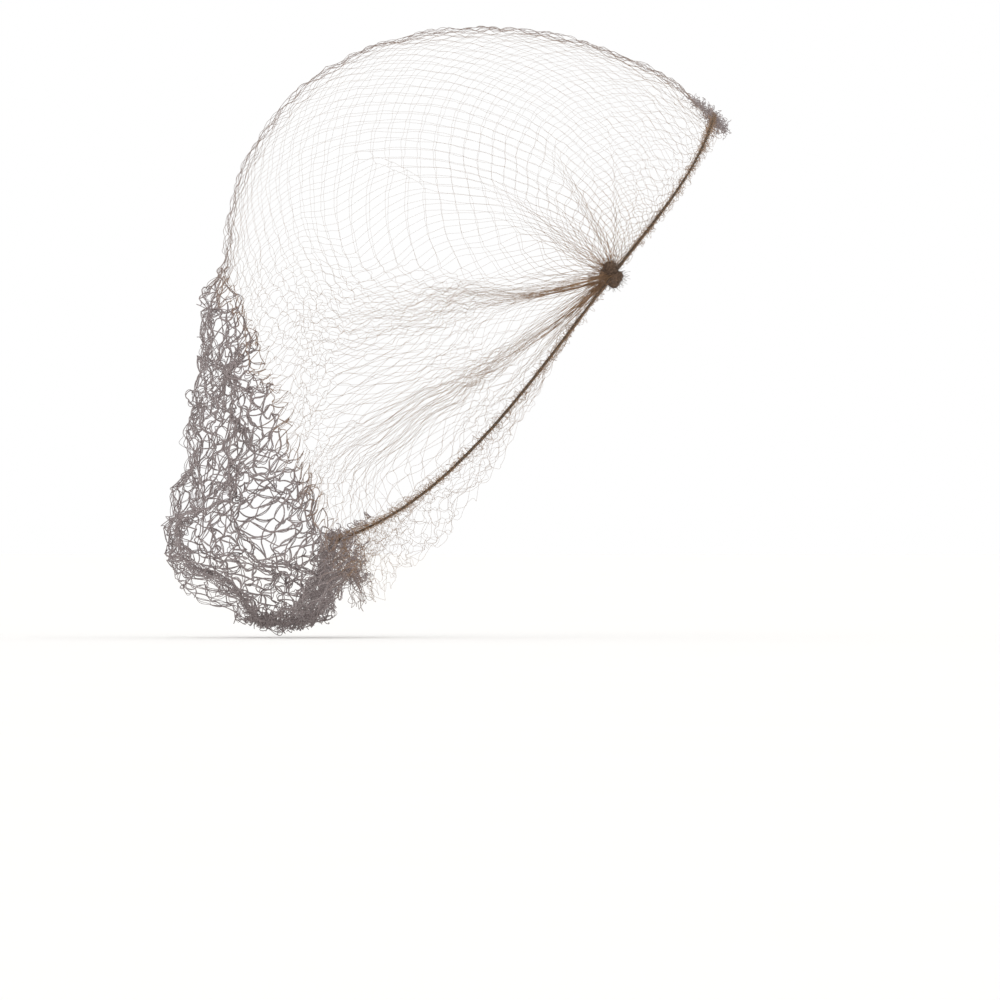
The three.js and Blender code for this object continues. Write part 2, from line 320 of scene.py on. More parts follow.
# %% [markdown]
# Near a knot the strands don't spread evenly: they are drawn together into a few folds and many small wisps,
# which fan out from the knot. The same happens along the folds that hang in the pouch. So each tie is pulled
# part of the way towards the middle of its nearest fold, and then of its nearest wisp. Behind the ears there
# is far more net than room, because the pouch uses more of it, so most of it is tucked into two creases.

# %% Tuck the spare net at the sides
TUCKS_FROM = 170
# share of the columns behind the crown, and the direction from the knot that they have reached
TUCKED = np.array([
    (0.11, 180.5), (0.16, 184.5), (0.43, 190.5), (0.48, 193.0), (0.58, 202.0), (0.62, 205.0), (0.88, 211.0),
    (0.91, 213.0), (1.0, SECTIONS[-1, 0]),
])
section = section_at(length)
angle = section[:, 0].copy()
column_share = (length - TUCKS_FROM) / (NET_LENGTH - TUCKS_FROM)
first_angle = section_at(np.array([float(TUCKS_FROM)]))[:, 0]
tucked = np.interp(column_share, np.append(0, TUCKED[:, 0]), np.append(first_angle, TUCKED[:, 1]))
distance = knot_distance(section, across)
beside_pouch = smoothstep(np.abs(across), 0.34, 0.58) * (column_share > 0) * (column_share < 1)
LOOSENS_BY, WANDERS_BY = 0.55, 2.2
tightness = 1 - LOOSENS_BY * smoothstep(distance, 40, 105)
wander = WANDERS_BY * np.sin(distance / 14 + tucked / 9) * smoothstep(distance, 20, 60)
angle += beside_pouch * (tightness * (tucked - angle) + wander)
print(f"{np.count_nonzero(beside_pouch)} ties beside the pouch are tucked")

# %% [markdown]
# The folds and wisps come next. Both are moves in the direction from the knot, so the ties keep their distance
# from it, and the new direction is turned back into a length along the net.

# %% Draw the ties together in folds and wisps
# the elastic also draws the net that lies along it
LOWER_GATHER = (220.5, -2, 2.6, 5, 52)
for fold_angle, turn, height, spread, reach in (*KNOT_FOLDS, LOWER_GATHER):
    near = np.minimum(distance / min(1.4 * reach, 70), 1)
    offset = angle - fold_angle - turn * near
    draw = 0.62 * height**0.5 * (1 - smoothstep(near, 0.3, 1)) * np.exp(-((offset / (1.8 * spread)) ** 2))
    angle -= np.minimum(draw, 0.9) * offset
# width in degrees, strength and drift of the coarse and of the fine wisps
WISPS = ((13.0, 0.62, 0.05), (6.1, 0.55, -0.11))
for wisp, strength, drift in WISPS:
    turns = 2 * np.pi * (angle / wisp + drift * np.sign(across) + np.sin(distance / 19 + wisp) * 0.16)
    draw = strength * wisp / (2 * np.pi) * (1 - smoothstep(distance, 18, 85))
    angle -= draw * np.sin(turns)
on_head = (length > 0) & (length < NET_LENGTH)
fine = np.linspace(0, NET_LENGTH, 1500)
fine_angle = np.maximum.accumulate(section_at(fine)[:, 0])
length = np.where(on_head, np.interp(angle, fine_angle, fine), length)
for place, height, spread, start, stop in POUCH_FOLDS:
    end = (2 * length - start - stop) / (stop - start)
    offset = across - place
    draw = 0.7 * np.maximum(0, 1 - end**2) * np.exp(-((offset / (1.5 * spread)) ** 2))
    across = across - draw * offset

# %% [markdown]
# The tight net over the crown is regular. The slack net behind the ears and in the pouch isn't: it crumples.
# Smooth noise moves each tie off the surface and along it. Seen from the side, a slanting line from the back
# of the head to the nape parts the net that lies against the head from the net that hangs free behind it.

# %% Crumple the slack net
HANG_TOP, HANG_FOOT = np.array([-88.0, -89.0]), np.array([-44.0, -194.0])


def hanging(points):
    down = (HANG_FOOT - HANG_TOP) / np.linalg.norm(HANG_FOOT - HANG_TOP)
    back = np.array([down[1], -down[0]])
    return smoothstep((points[:, [0, 2]] - HANG_TOP) @ back, -2, 3)


noise.seed_set(7)


def crumple(points, size, seed):
    return np.array([noise.noise_vector(Vector(p) / size + Vector((seed, 0, 0))) for p in points])


ties = net_point(length, across)
section = section_at(length)
middle = 1 - np.abs(across) ** 4
in_pouch = hanging(ties) * smoothstep(length, 130, 190) * (length < NET_LENGTH)
behind_ear = smoothstep(section[:, 0], 168, 190) * smoothstep(distance, 30, 62)
in_frill = np.where(on_head, 0, 1) * middle
at_forehead = (1 - smoothstep(length, 8, 60)) * middle
at_brow = (1 - smoothstep(length, 2, 16)) * (1 - smoothstep(np.abs(across), 0.05, 0.3))
on_ridge = 1 - smoothstep(np.abs(across), 0.03, 0.24)
slack = np.maximum.reduce([in_pouch, 0.85 * behind_ear, 0.9 * in_frill, 0.5 * at_forehead])
crumple_by = (0.3 + 2.2 * behind_ear + 1.6 * in_frill + 0.5 * at_forehead + at_brow + 5.5 * in_pouch)[:, None]
crumple_by *= smoothstep(distance, 10, 40)[:, None]
ties += crumple_by * (0.9 * crumple(ties, 17, 3) + 0.5 * crumple(ties, 7, 11))
ties += 5 * in_pouch[:, None] * crumple(ties, 30, 5)
ties += (0.1 + 0.45 * slack)[:, None] * smoothstep(distance, 8, 30)[:, None] * rng.normal(size=ties.shape)
stand = rng.uniform(-0.1, 0.9, len(ties)) + 0.5 * on_ridge * rng.normal(size=len(ties))
ties += stand[:, None] * outward(length, across)

starts, ends = [], []
for step in (-1, 1):
    here = tie_at[:-1, max(0, -step):tie_at.shape[1] - max(0, step)]
    there = tie_at[1:, max(0, step):tie_at.shape[1] + min(0, step)]
    both = (here >= 0) & (there >= 0)
    starts.append(here[both])
    ends.append(there[both])
starts, ends = np.concatenate(starts), np.concatenate(ends)
spans = np.linalg.norm(ties[ends] - ties[starts], axis=1)
print(f"{len(starts)} strands, {np.percentile(spans, [1, 10, 50, 90, 99]).round(2)} mm from tie to tie")

# %% [markdown]
# ## The strands
# A strand is a fixed length of thread between two ties. Where the ties are that far apart it is straight.
# Where they are closer, the spare length has to go somewhere, so the strand bows out. A shallow bow of height
# h on a span d adds about 8 h h / 3 d to its length, which gives the height for the spare length.

# %% Bow each strand by its spare length
STRAND_LENGTH = 6.0
TAUT_THREAD, SLACK_THREAD, RIDGE_THREAD, GATHERED_THREAD, HANGING_THREAD = 0.03, 0.046, 0.085, 0.065, 0.23

strand_slack = (slack[starts] + slack[ends]) / 2
strand_hangs = (in_pouch[starts] + in_pouch[ends]) / 2
spare = np.clip(STRAND_LENGTH - spans, 0.08 * spans * strand_hangs, 0.5 * STRAND_LENGTH)
strand_gathered = 1 - smoothstep((distance[starts] + distance[ends]) / 2, 8, 48)
strand_brow = (at_brow[starts] + at_brow[ends]) / 2
strand_ridge = (on_ridge[starts] + on_ridge[ends]) / 2
bow = np.sqrt(3 * spans * spare / 8) * (0.1 + 0.8 * strand_slack) * rng.uniform(0.5, 1.1, len(starts))
bow = np.minimum(bow, 1.7)
lie = (ties[ends] - ties[starts]) / np.maximum(spans, 0.01)[:, None]
normal = outward((length[starts] + length[ends]) / 2, (across[starts] + across[ends]) / 2)
in_plane = np.cross(lie, normal)
bow_side = rng.choice([-1.0, 1.0], len(starts))[:, None] * in_plane
bow_side += rng.normal(0, 0.4, len(starts))[:, None] * normal + np.array([0, 0, -0.2]) * strand_hangs[:, None]
bow_twist = rng.normal(0, 0.4, len(starts))[:, None] * (in_plane + 0.6 * normal)
stands_off = (rng.uniform(-0.3, 0.4, len(starts)) * (1 + strand_ridge))[:, None] * normal
# share of the plain grey brown thread colour: the pouch, the middle ridge and the brow keep it, the rest of
# the net is painted a paler tan, painted light
strand_kept_from_painted_light = np.maximum.reduce([strand_hangs, 0.75 * strand_ridge, strand_brow])
strand_radius = TAUT_THREAD + (SLACK_THREAD - TAUT_THREAD) * strand_slack
strand_radius += (GATHERED_THREAD - TAUT_THREAD) * np.maximum(strand_gathered, strand_brow)
strand_radius += (RIDGE_THREAD - TAUT_THREAD) * strand_ridge * (1 - strand_hangs)
strand_radius += (HANGING_THREAD - SLACK_THREAD) * strand_hangs * rng.uniform(0.75, 1.1, len(starts))
strand_radius *= 1 - 0.35 * strand_ridge * strand_hangs
ply_apart = rng.normal(0, 0.55, (len(starts), 3))


def strand_runs(chosen, steps, apart=0):
    share = np.linspace(0, 1, steps + 1)[None, :, None]
    straight = ties[starts[chosen], None] * (1 - share) + ties[ends[chosen], None] * share
    arch = 4 * share * (1 - share) * (bow[chosen, None] * bow_side[chosen] + stands_off[chosen])[:, None]
    twist = np.sin(2 * np.pi * share) * (bow[chosen, None] * bow_twist[chosen])[:, None]
    return straight + arch + twist + apart * np.sin(np.pi * share) * ply_apart[chosen, None]


print(f"bows up to {bow.max():.2f} mm, {spans.sum() / 1000:.0f} m of net")

# %% [markdown]
# ## Thread from lines
# All of the hairnet is thread or cord, so one Geometry Nodes tree spins every piece. It takes a mesh of bare
# edges and turns each run of edges into a curve, gives the curve the radius that is stored on its points, and
# sweeps a small ring along it. It keeps the place along the thread and around it, for the twist in the
# material. Points that are marked as ties also get a little knot, as an instance.

# %% The thread tree
def add_node(tree, kind, settings=None, **sockets):
    made = tree.nodes.new(kind)
    for name, value in (settings or {}).items():
        setattr(made, name, value)
    for name, value in sockets.items():
        socket = next(s for s in made.inputs if s.name.replace(" ", "_") == name and s.enabled)
        if isinstance(value, bpy.types.NodeSocket):
            tree.links.new(value, socket)
        else:
            socket.default_value = value
    return made


def make_thread_tree():
    tree = bpy.data.node_groups.new("spin_thread", "GeometryNodeTree")
    inputs = {"Geometry": "Geometry", "Sides": "Int", "Tie size": "Float", "Finish": "Material"}
    for name, kind in inputs.items():
        tree.interface.new_socket(name, in_out="INPUT", socket_type="NodeSocket" + kind)
    tree.interface.new_socket("Geometry", in_out="OUTPUT", socket_type="NodeSocketGeometry")
    given = tree.nodes.new("NodeGroupInput").outputs
    radius = add_node(tree, "GeometryNodeInputNamedAttribute", {"data_type": "FLOAT"}, Name="thread_radius")
    is_tied = add_node(tree, "GeometryNodeInputNamedAttribute", {"data_type": "BOOLEAN"}, Name="tied")
    place = tree.nodes.new("GeometryNodeSplineParameter")
    spot = tree.nodes.new("GeometryNodeInputPosition")

    runs = add_node(tree, "GeometryNodeMeshToCurve", Mesh=given["Geometry"])
    marked = add_node(tree, "GeometryNodeStoreNamedAttribute", {"data_type": "FLOAT"},
                      Geometry=runs.outputs[0], Name="along", Value=place.outputs["Length"])
    ring = add_node(tree, "GeometryNodeCurvePrimitiveCircle", Resolution=given["Sides"], Radius=1.0)
    ring = add_node(tree, "GeometryNodeStoreNamedAttribute", {"data_type": "FLOAT_VECTOR"},
                    Geometry=ring.outputs[0], Name="around", Value=spot.outputs[0])
    tube = add_node(tree, "GeometryNodeCurveToMesh", Curve=marked.outputs[0], Profile_Curve=ring.outputs[0],
                    Scale=radius.outputs[0], Fill_Caps=True)
    smooth = add_node(tree, "GeometryNodeSetShadeSmooth", Geometry=tube.outputs[0])

    bead = add_node(tree, "GeometryNodeMeshIcoSphere", Radius=1.0, Subdivisions=1)
    bead = add_node(tree, "GeometryNodeSetShadeSmooth", Geometry=bead.outputs[0])
    size = add_node(tree, "ShaderNodeMath", {"operation": "MULTIPLY"})
    tree.links.new(radius.outputs[0], size.inputs[0])
    tree.links.new(given["Tie size"], size.inputs[1])
    ties_made = add_node(tree, "GeometryNodeInstanceOnPoints", Points=given["Geometry"],
                         Selection=is_tied.outputs[0], Instance=bead.outputs[0], Scale=size.outputs[0])
    joined = tree.nodes.new("GeometryNodeJoinGeometry")
    tree.links.new(ties_made.outputs[0], joined.inputs[0])
    tree.links.new(smooth.outputs[0], joined.inputs[0])
    real = add_node(tree, "GeometryNodeRealizeInstances", Geometry=joined.outputs[0])
    finished = add_node(tree, "GeometryNodeSetMaterial", Geometry=real.outputs[0], Material=given["Finish"])
    tree.links.new(finished.outputs[0], tree.nodes.new("NodeGroupOutput").inputs[0])
    return tree


thread_tree = make_thread_tree()
print("thread tree with", len(thread_tree.nodes), "nodes")

# %% [markdown]
# `spin` lays the bare edges for one piece, runs the tree on them and keeps the result as a plain mesh.

# %% Spin a piece from runs of points
def spin(name, runs, radius, kept_from_painted_light, finish, nodes, sides=4, tie_size=0.0, tied=None):
    """runs: points of equal runs, in mm, as an array of run, point and axis."""
    run_count, point_count = runs.shape[:2]
    mesh = bpy.data.meshes.new(name + "_lines")
    mesh.vertices.add(run_count * point_count)
    mesh.vertices.foreach_set("co", (runs * MM).astype(np.float32).ravel())
    first = (np.arange(run_count) * point_count)[:, None] + np.arange(point_count - 1)
    mesh.edges.add(first.size)
    mesh.edges.foreach_set("vertices", np.stack([first, first + 1], -1).astype(np.int32).ravel())
    # the slack attribute carries how much of the plain thread colour is kept against the paler tan painted
    # light
    for label, values in (("thread_radius", radius * MM), ("slack", kept_from_painted_light)):
        values = np.broadcast_to(np.reshape(values, (-1, 1)), (run_count, point_count)).astype(np.float32)
        mesh.attributes.new(label, "FLOAT", "POINT").data.foreach_set("value", values.ravel())
    marks = np.zeros((run_count, point_count), bool)
    if tied is not None:
        marks[:, 0] = tied
    mesh.attributes.new("tied", "BOOLEAN", "POINT").data.foreach_set("value", marks.ravel())
    lines = bpy.data.objects.new(name + "_lines", mesh)
    bpy.context.scene.collection.objects.link(lines)
    modifier = lines.modifiers.new("spin", "NODES")
    modifier.node_group = thread_tree
    sockets = {s.name: s.identifier for s in thread_tree.interface.items_tree if s.in_out == "INPUT"}
    modifier[sockets["Sides"]] = sides
    modifier[sockets["Tie size"]] = tie_size
    modifier[sockets["Finish"]] = finish
    spun = bpy.data.meshes.new_from_object(lines.evaluated_get(bpy.context.evaluated_depsgraph_get()))
    bpy.data.objects.remove(lines)
    bpy.data.meshes.remove(mesh)
    for label in ("thread_radius", "tied"):
        spun.attributes.remove(spun.attributes[label])
    piece = bpy.data.objects.new(name, spun)
    spun.name = name
    bpy.context.scene.collection.objects.link(piece)
    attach(piece, "root")
    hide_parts(*nodes)
    spun.calc_loop_triangles()
    print(f"{name}: {run_count} runs, {len(spun.loop_triangles)} triangles")


# %% [markdown]
# ## Finishes
# A thread's look comes from its twist, its soft fibres and small changes of colour. A small class lets shader
# maths be written as plain expressions: each operator adds the Math node that it stands for.

# %% Shader maths as expressions
class Value:
    def __init__(self, shader, socket):
        self.shader = shader
        self.socket = socket

    def maths(self, operation, first, second):
        return self.shader.add("ShaderNodeMath", {"operation": operation}, {0: first, 1: second})

    def __add__(self, other):
        return self.maths("ADD", self, other)

    def __sub__(self, other):
        return self.maths("SUBTRACT", self, other)

    def __mul__(self, other):
        return self.maths("MULTIPLY", self, other)

    def __rsub__(self, other):
        return self.maths("SUBTRACT", other, self)

    __radd__ = __add__
    __rmul__ = __mul__

    def sine(self):
        return self.maths("SINE", self, 0.0)

    def cosine(self):
        return self.maths("COSINE", self, 0.0)


class Finish:
    def __init__(self, name):
        self.material = bpy.data.materials.new(name)
        self.material.use_nodes = True
        self.tree = self.material.node_tree
        self.skin = self.tree.nodes["Principled BSDF"]

    def add(self, kind, settings=None, sockets=None, output=0):
        made = self.tree.nodes.new(kind)
        for name, value in (settings or {}).items():
            setattr(made, name, value)
        for name, value in (sockets or {}).items():
            self.feed(made.inputs[name], value)
        return Value(self, made.outputs[output])

    def feed(self, socket, value):
        if isinstance(value, Value):
            self.tree.links.new(value.socket, socket)
        else:
            socket.default_value = value

    def set(self, **sockets):
        for name, value in sockets.items():
            self.feed(self.skin.inputs[name.replace("_", " ")], value)

    def attribute(self, name, output="Fac"):
        return self.add("ShaderNodeAttribute", {"attribute_name": name}, output=output)

    def mix(self, share, first, second):
        return self.add("ShaderNodeMix", {"data_type": "RGBA"}, {0: share, 6: first, 7: second}, output=2)

    def noise(self, scale, detail=2.0):
        place = self.add("ShaderNodeTexCoord", output="Object")
        return self.add("ShaderNodeTexNoise", sockets={"Vector": place, "Scale": scale, "Detail": detail})


# %% [markdown]
# The net's thread is spun nylon: two plies twisted together, grey brown. Over the crown it is painted a little
# warmer and lighter, a paler tan that is painted light, standing for the brighter light the thread lies in
# there.
# The plies are a stripe that winds round the thread, from the two places that the tree stored.

# %% The thread finishes
def linear(red, green, blue):
    return tuple(((c / 255 + 0.055) / 1.055) ** 2.4 for c in (red, green, blue)) + (1.0,)


def thread_finish(name, dark, light, twist, roughness, bump, painted_light_pair=None):
    finish = Finish(name)
    turn = finish.attribute("along") * (2 * math.pi / twist)
    around = finish.add("ShaderNodeSeparateXYZ", sockets={0: finish.attribute("around", "Vector")})
    across = Value(finish, around.socket.node.outputs[1])
    ply = turn.sine() * around + turn.cosine() * across
    patches = finish.noise(160.0)
    fibres = finish.noise(5200.0, 3.0)
    shade = patches * 0.7 + ply * 0.22 + fibres * 0.35 - 0.1
    colour = finish.mix(shade, dark, light)
    if painted_light_pair is not None:
        # the slack attribute says how much of the plain grey brown a thread keeps; the rest gets the paler tan
        # painted light
        colour = finish.mix(finish.attribute("slack"), finish.mix(shade, *painted_light_pair), colour)
    height = ply * 0.5 + fibres * 0.5
    relief = finish.add("ShaderNodeBump", sockets={"Height": height, "Strength": bump, "Distance": 0.0001})
    finish.set(Base_Color=colour, Roughness=roughness + fibres * 0.2, Normal=relief)
    finish.set(Specular_IOR_Level=0.25, Sheen_Weight=0.08, Sheen_Roughness=0.5)
    return finish.material


# the last pair of colours is a paler, warmer tan: painted light for the thread over the crown
net_thread = thread_finish("net_thread", linear(124, 112, 111), linear(182, 171, 170), 0.0011, 0.62, 0.5,
                           painted_light_pair=(linear(118, 88, 62), linear(190, 154, 118)))
print("net thread finish with", len(net_thread.node_tree.nodes), "nodes")

# %% [markdown]
# ## The net
# The strands are spun in a few pieces, by where they lie, so that none of them grows too heavy: the tight
# net over the crown, the side of the head, the pouch, and the frills past the elastics. In the slack pouch
# the two plies of the thread come apart between the ties, so each strand there is spun twice.

# %% Spin the net
strand_length = (length[starts] + length[ends]) / 2
in_a_frill = (strand_length < 0) | (strand_length > NET_LENGTH)
first_of_tie = np.zeros(len(starts), bool)
first_of_tie[np.unique(starts, return_index=True)[1]] = True
right_half = (across[starts] + across[ends]) < 0
CROWN_ENDS, HANGS_FROM, TIE_SIZE, PLY_SHARE = 150, 0.05, 1.7, 0.8
hangs = strand_hangs > HANGS_FROM
# what lies in each region, the steps of a strand and the sides of its thread
regions = {
    "net_crown": (~in_a_frill & ~hangs & (strand_length <= CROWN_ENDS), 3, 3),
    "net_side_right": (~in_a_frill & ~hangs & (strand_length > CROWN_ENDS) & right_half, 5, 3),
    "net_side_left": (~in_a_frill & ~hangs & (strand_length > CROWN_ENDS) & ~right_half, 5, 3),
    "net_pouch_right": (~in_a_frill & hangs & right_half, 6, 4),
    "net_pouch_left": (~in_a_frill & hangs & ~right_half, 6, 4),
    "net_frill": (in_a_frill, 5, 3),
}
for name, (here, steps, sides) in regions.items():
    spin(name, strand_runs(np.flatnonzero(here), steps), strand_radius[here], strand_kept_from_painted_light[here], net_thread,
         ["net"], sides=sides, tie_size=TIE_SIZE, tied=first_of_tie[here])
    if name.startswith("net_pouch"):
        loose = strand_runs(np.flatnonzero(here), steps, apart=1)
        spin(name + "_ply", loose, PLY_SHARE * strand_radius[here], strand_kept_from_painted_light[here], net_thread,
             ["net"], sides=3)

# %% [markdown]
# ## The elastic
# Each long edge of the net is threaded on an elastic cord: a rubber core with a dark yarn wound round it in
# close turns. The core is one run of points along the edge, and the yarn is a helix about the same line.

# %% The line of an elastic
ELASTIC_RADIUS = 0.65
CLEARANCE = 0.6
KNOT_STANDS_OUT = 2.2
COVER_RADIUS = 0.13
CORE_RADIUS = 0.31


def elastic_line(edge, count):
    place = np.linspace(-1, 1, count)
    at = np.full(count, float(edge))
    between = (outward(at - CREASE_TURN, place) + outward(at + CREASE_TURN, place)) / 2
    clear = (CLEARANCE + ELASTIC_RADIUS) / np.sum(between**2, axis=1)
    line = smooth_point(at, place) + clear[:, None] * between
    knots = np.array([(KNOT_AHEAD, side * (KNOT_SPAN + KNOT_STANDS_OUT), -KNOT_BELOW) for side in (-1, 1)])
    return np.concatenate([knots[:1], line, knots[1:]])


def even_steps(line, step):
    gone = np.append(0, np.cumsum(np.linalg.norm(np.diff(line, axis=0), axis=1)))
    at = np.linspace(0, gone[-1], max(2, round(gone[-1] / step)))
    return np.stack([np.interp(at, gone, line[:, axis]) for axis in range(3)], -1)


def frames_along(line):
    along = np.gradient(line, axis=0)
    along /= np.linalg.norm(along, axis=1)[:, None]
    first = np.zeros_like(line)
    aside = np.cross(along[0], (0.3, 0.5, 0.8))
    for i, direction in enumerate(along):
        aside = aside - direction * (aside @ direction)
        aside = aside / np.linalg.norm(aside)
        first[i] = aside
    return along, first, np.cross(along, first)


# %% [markdown]
# The helix needs two directions at right angles to the cord at every step. They are carried along the line
# from one step to the next, so that the winding doesn't jump.

# %% Spin both elastics
COVER_PITCH = 0.62
COVER_STEPS = 8
CORE_STEP = 1.2
elastic_core = thread_finish("elastic_core", linear(58, 45, 36), linear(98, 81, 66), 0.0013, 0.6, 0.4)
elastic_cover = thread_finish("elastic_cover", linear(66, 52, 41), linear(132, 113, 92), 0.0008, 0.65, 0.6)
elastic_lines = {}
for name, edge in (("front_elastic", 0), ("nape_elastic", NET_LENGTH)):
    line = even_steps(elastic_line(edge, 400), CORE_STEP)
    elastic_lines[name] = line
    spin(name + "_core", line[None], np.array([CORE_RADIUS]), np.zeros(1), elastic_core,
         [name], sides=8)
    wound = even_steps(line, COVER_PITCH / COVER_STEPS)
    along, first, second = frames_along(wound)
    turn = np.arange(len(wound)) * 2 * np.pi / COVER_STEPS
    reach = CORE_RADIUS + 0.05 * rng.normal(size=len(wound))
    helix = wound + reach[:, None] * (np.cos(turn)[:, None] * first + np.sin(turn)[:, None] * second)
    spin(name + "_cover", helix[None], np.array([COVER_RADIUS]), np.zeros(1), elastic_cover,
         [name], sides=4)

# %% [markdown]
# The net is held to the elastic by its own meshes: one after the other, their threads go round the cord. Each
# is a small loop, drawn out towards the net and tilted a little differently.

# %% Loop the net round the elastics
LOOP_SPACING, LOOP_THREAD = 2.3, 0.07
loop_turn = np.linspace(0, 2 * np.pi, 11)
for name, line in elastic_lines.items():
    beads = even_steps(line, LOOP_SPACING)[2:-2]
    along = frames_along(beads)[0]
    near_net = ties[np.argmin(np.linalg.norm(ties[None] - beads[:, None], axis=2), axis=1)] - beads
    near_net -= along * np.sum(near_net * along, axis=1)[:, None]
    near_net /= np.maximum(np.linalg.norm(near_net, axis=1), 0.01)[:, None]
    aside = np.cross(along, near_net)
    width = rng.uniform(0.78, 1.0, len(beads))
    height = rng.uniform(1.0, 1.5, len(beads))
    tilt = rng.normal(0, 0.5, len(beads))
    loops = (
        beads[:, None]
        + near_net[:, None] * ((height - 0.8)[:, None] + height[:, None] * np.cos(loop_turn))[..., None]
        + aside[:, None] * (width[:, None] * np.sin(loop_turn))[..., None]
        + along[:, None] * (tilt[:, None] * np.cos(loop_turn))[..., None]
    )
    spin(name + "_loops", loops, np.full(len(beads), LOOP_THREAD), np.zeros(len(beads)), net_thread,
         ["net"], sides=4)

# %% [markdown]
# Slack meshes stand up beside both cords as fine curls. Each is a short piece of thread that leaves the cord,
# winds once or twice and comes back to it. They are closest together at the nape, where the net is fullest.

# %% Curls beside the elastics
def curls(feet, forward, sideways, size, seed):
    steady = np.random.default_rng(seed)
    count = len(feet)
    share = np.linspace(0, 1, 13)[None, :, None]
    reach = sideways * steady.uniform(*size, count)[:, None]
    drift = forward * (steady.uniform(1.2, 3.4, count) * steady.choice([-1, 1], count))[:, None]
    drift += steady.normal(0, 0.4, (count, 3))
    first, second = steady.normal(0, 0.4, (2, count, 3))
    turns = steady.uniform(0.8, 1.8, (count, 1, 1)) * 2 * np.pi * share
    wave = np.sin(np.pi * share) * (np.sin(turns) * first[:, None] + np.cos(turns) * second[:, None])
    return feet[:, None] + np.sin(np.pi * share) * reach[:, None] + share * drift[:, None] + wave


def unit(vectors):
    return vectors / np.maximum(np.linalg.norm(vectors, axis=-1, keepdims=True), 1e-6)


# the curls keep little of the plain thread colour, so they mostly take the paler tan painted light
CURL_THREAD, CURL_KEPT_FROM_PAINTED_LIGHT = 0.06, 0.15
INSIDE = np.array([-10.0, 0.0, -80.0])
# how many curls beside each cord, and how far they reach to either side
CURLS = {"front_elastic": (220, (-2.4, 2.8)), "nape_elastic": (430, (-2.8, 3.2))}
for name, (count, size) in CURLS.items():
    line = even_steps(elastic_lines[name], 0.5)
    spots = np.random.default_rng(31).integers(12, len(line) - 12, count)
    along = unit(np.gradient(line, axis=0)[spots])
    flat = unit(np.cross(along, line[spots] - INSIDE))
    loose = curls(line[spots], along, flat, size, 41)
    spin(name + "_curls", loose, np.full(count, CURL_THREAD), np.full(count, CURL_KEPT_FROM_PAINTED_LIGHT), net_thread,
         ["net"], sides=3)

# %% [markdown]
# In two places the spare net is bunched up thick: at the middle of the forehead, where the frill is pinched
# above the elastic, and at the nape, where the pouch comes back to the elastic. Each bunch is a crowd of slack
# curls that start from the ties there.

# %% Bunch the net at the forehead and at the nape
side = np.abs(across)
# where each bunch is, how many curls it has, how far they stand off and the radius of their thread
at_nape = (length > NET_LENGTH - 48) & (length < NET_LENGTH) & (side < 0.3)
at_nape |= (length >= NET_LENGTH) & (length < NET_LENGTH + 18) & (side < 0.12)
bunches = {
    "forehead_bunch": ((length < 12) & (side < 0.13), 240, (-0.4, 1.5), 0.09),
    "nape_bunch": (at_nape, 620, (-3.0, 1.0), 0.14),
}
for name, (here, count, size, radius) in bunches.items():
    steady = np.random.default_rng(51)
    foot = steady.choice(np.flatnonzero(here), count)
    at = length[foot] + steady.uniform(-2, 2, count)
    place = across[foot] + steady.uniform(-0.025, 0.025, count)
    feet = ties[foot] + net_point(at, place) - net_point(length[foot], across[foot])
    forward = unit(smooth_point(at + 1, place) - smooth_point(at - 1, place))
    forward = unit(forward + steady.normal(0, 0.7, forward.shape))
    loose = curls(feet, forward, outward(at, place), size, 61)
    spin(name, loose, np.full(count, radius), np.ones(count), net_thread, ["net"], sides=4)

# %% [markdown]
# Loose loops also stand off the pouch, where a mesh has slipped through its ties.

# %% Stray loops on the pouch
hung = np.flatnonzero(strand_hangs > 0.6)
STRAY_COUNT, STRAY_THREAD = 90, 0.15
stray = rng.choice(hung, STRAY_COUNT, replace=False)
share = np.linspace(0, 1, 9)[None, :, None]
stray_height = rng.uniform(1.2, 3.0, STRAY_COUNT)[:, None, None]
stray_lean = rng.normal(0, 0.8, (STRAY_COUNT, 1, 3))
stray_runs = ties[starts[stray], None] * (1 - share) + ties[ends[stray], None] * share
stray_runs = stray_runs + np.sin(np.pi * share) * (stray_height * normal[stray, None] + stray_lean)
stray_runs = stray_runs + np.sin(2 * np.pi * share) * rng.normal(0, 0.8, (STRAY_COUNT, 1, 3))
spin("pouch_loops", stray_runs, np.full(STRAY_COUNT, STRAY_THREAD), np.ones(STRAY_COUNT), net_thread,
     ["net"], sides=4)

# %% [markdown]
# ## The knots
# Each end of the net is drawn into a tight bundle, bound with dark thread and tied off, which leaves two round
# lobes. Each lobe is wound like a ball of yarn: turn after turn about its middle, every turn tilted another
# way. Short frayed fibres stand out all round, and the last strands of the net run into it as tails.

# %% Wind a lobe of the knot
KNOT_DIRECTION = -52
BINDING_RADIUS = 0.22
FRAY_COUNT = 260
LOBE_TURNS = 42
# place of each lobe along the knot's axis, its radius and how long it is
KNOT_LOBES = ((-1.6, 2.4, 1.1), (1.9, 2.0, 0.95))
binding_thread = thread_finish("binding_thread", linear(34, 24, 18), linear(136, 110, 90), 0.0012, 0.7, 0.7)
knot_axis = side_direction(np.array([float(KNOT_DIRECTION)]))[0]


